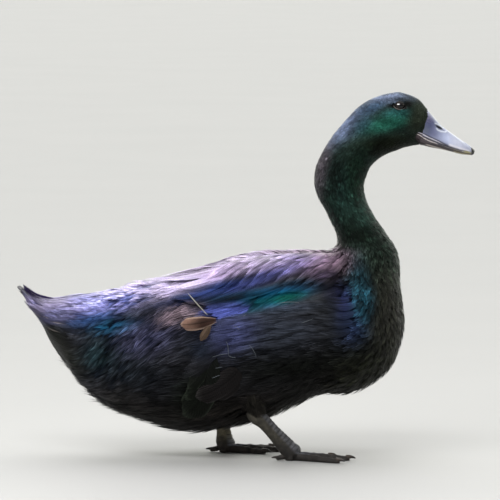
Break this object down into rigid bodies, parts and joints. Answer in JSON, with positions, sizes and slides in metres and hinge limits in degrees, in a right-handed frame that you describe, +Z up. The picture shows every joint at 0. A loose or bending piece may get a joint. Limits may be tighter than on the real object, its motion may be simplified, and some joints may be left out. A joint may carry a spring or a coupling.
{
  "type": "cayuga duck",
  "caption": "Life-size still model of a standing black duck with green and violet sheen, neck drawn up in an S, one webbed foot set ahead of the other.",
  "frame": {"origin": "on the floor, under the middle of the whole bird's box in x and y", "axes": "+X towards the bill, +Y towards the bird's own left side, +Z up from the floor the feet stand on"},
  "size_m": [0.483, 0.1626, 0.3857],
  "materials": {
    "plumage_head": "sleek black plumage with a green sheen",
    "plumage_neck": "short dense black plumage with a blue-green sheen",
    "plumage_body": "black-brown plumage, slate streaks, violet on the back",
    "plumage_wing": "black wing feathers with violet-blue and emerald gloss",
    "plumage_tail": "black tail feathers with violet gloss",
    "leg_skin": "scaly, dull, dark grey-brown",
    "bill_horn": "satin slate grey with a black nail",
    "claw_horn": "dark polished horn",
    "eye": "wet, very dark brown"
  },
  "bodies": {
    "root": {"head": "plumage_head", "neck_upper": "plumage_neck", "neck_lower": "plumage_neck", "trunk": "plumage_body", "tail": "plumage_tail", "wing_L": "plumage_wing", "wing_R": "plumage_wing", "thigh_L": "plumage_body", "thigh_R": "plumage_body", "tarsus_L": "leg_skin", "tarsus_R": "leg_skin", "foot_L": "leg_skin", "foot_R": "leg_skin", "bill_upper": "bill_horn", "bill_lower": "bill_horn", "eye_L": "eye", "eye_R": "eye", "claw_inner_L": "claw_horn", "claw_middle_L": "claw_horn", "claw_outer_L": "claw_horn", "claw_hind_L": "claw_horn", "claw_inner_R": "claw_horn", "claw_middle_R": "claw_horn", "claw_outer_R": "claw_horn", "claw_hind_R": "claw_horn"}
  },
  "joints": []
}
